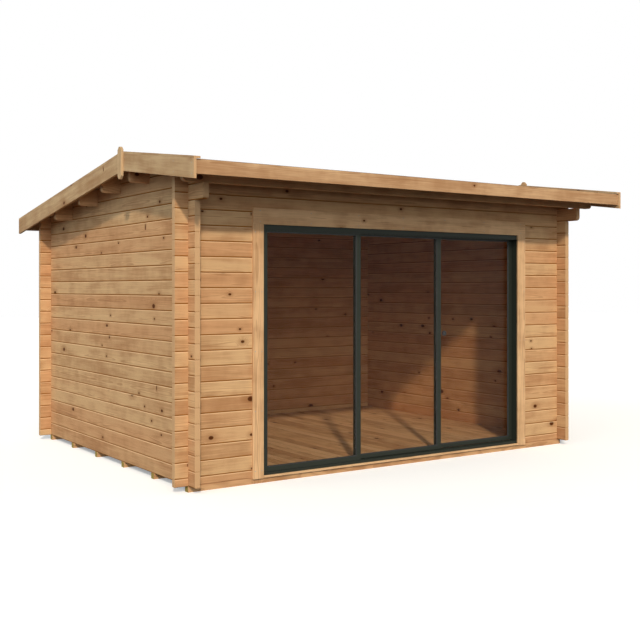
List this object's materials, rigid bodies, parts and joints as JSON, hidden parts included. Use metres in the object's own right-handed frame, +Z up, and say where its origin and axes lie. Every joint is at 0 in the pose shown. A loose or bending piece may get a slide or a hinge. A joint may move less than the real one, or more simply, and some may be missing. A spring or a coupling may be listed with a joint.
{
  "type": "garden house",
  "caption": "Log cabin garden house with interlocking corner logs, a shallow asymmetric gable roof and a wide sliding glass door.",
  "frame": {"origin": "ground level at the middle of the roof's plan", "axes": "+X along the front to the right, +Y from the front to the back, +Z up"},
  "size_m": [4.3806, 3.785, 2.5501],
  "materials": {
    "log_timber": "natural planed spruce, clear",
    "roof_edge_timber": "natural planed spruce boards",
    "casing_timber": "natural planed spruce boards",
    "treated_timber": "pressure treated, greenish brown",
    "floor_boards": "tongue and groove spruce boards",
    "roof_boards": "tongue and groove spruce boards",
    "roof_felt": "mineral surfaced roofing felt",
    "door_frame_metal": "powder coated anthracite",
    "tinted_glass": "bronze tinted safety glass",
    "roller_plastic": "moulded nylon",
    "pull_metal": "dark bronze"
  },
  "bodies": {
    "house": {"foundation_joists": "treated_timber", "floor": "floor_boards", "threshold": "casing_timber", "front_wall_left": "log_timber", "front_wall_right": "log_timber", "front_wall_over_door": "log_timber", "back_wall": "log_timber", "left_wall": "log_timber", "right_wall": "log_timber", "left_eave_log": "log_timber", "right_eave_log": "log_timber", "left_gable": "log_timber", "right_gable": "log_timber", "eave_purlin": "log_timber", "ridge_purlin": "log_timber", "back_purlins": "log_timber", "roof_deck_front": "roof_boards", "roof_deck_back": "roof_boards", "roof_felt": "roof_felt", "front_fascia": "roof_edge_timber", "back_fascia": "roof_edge_timber", "left_front_bargeboard": "roof_edge_timber", "left_back_bargeboard": "roof_edge_timber", "right_front_bargeboard": "roof_edge_timber", "right_back_bargeboard": "roof_edge_timber", "left_edge_strips": "roof_edge_timber", "right_edge_strips": "roof_edge_timber", "left_finial": "roof_edge_timber", "right_finial": "roof_edge_timber", "door_casing_left": "casing_timber", "door_casing_right": "casing_timber", "door_casing_top": "casing_timber", "inner_casing": "casing_timber", "door_head": "door_frame_metal", "door_head_fins": "door_frame_metal", "door_sill": "door_frame_metal", "door_jambs": "door_frame_metal", "left_panel_frame": "door_frame_metal", "left_panel_glass": "tinted_glass"},
    "middle_panel": {"middle_panel_frame": "door_frame_metal", "middle_panel_glass": "tinted_glass", "middle_panel_rollers": "roller_plastic"},
    "right_panel": {"right_panel_frame": "door_frame_metal", "right_panel_glass": "tinted_glass", "right_panel_rollers": "roller_plastic", "finger_pull": "pull_metal"}
  },
  "joints": [
    {"name": "middle_panel_slide", "type": "slide", "parent": "house", "child": "middle_panel", "axis": [-1, 0, 0], "range_m": [0, 0.886]},
    {"name": "right_panel_slide", "type": "slide", "parent": "house", "child": "right_panel", "axis": [-1, 0, 0], "range_m": [0, 1.772]}
  ]
}
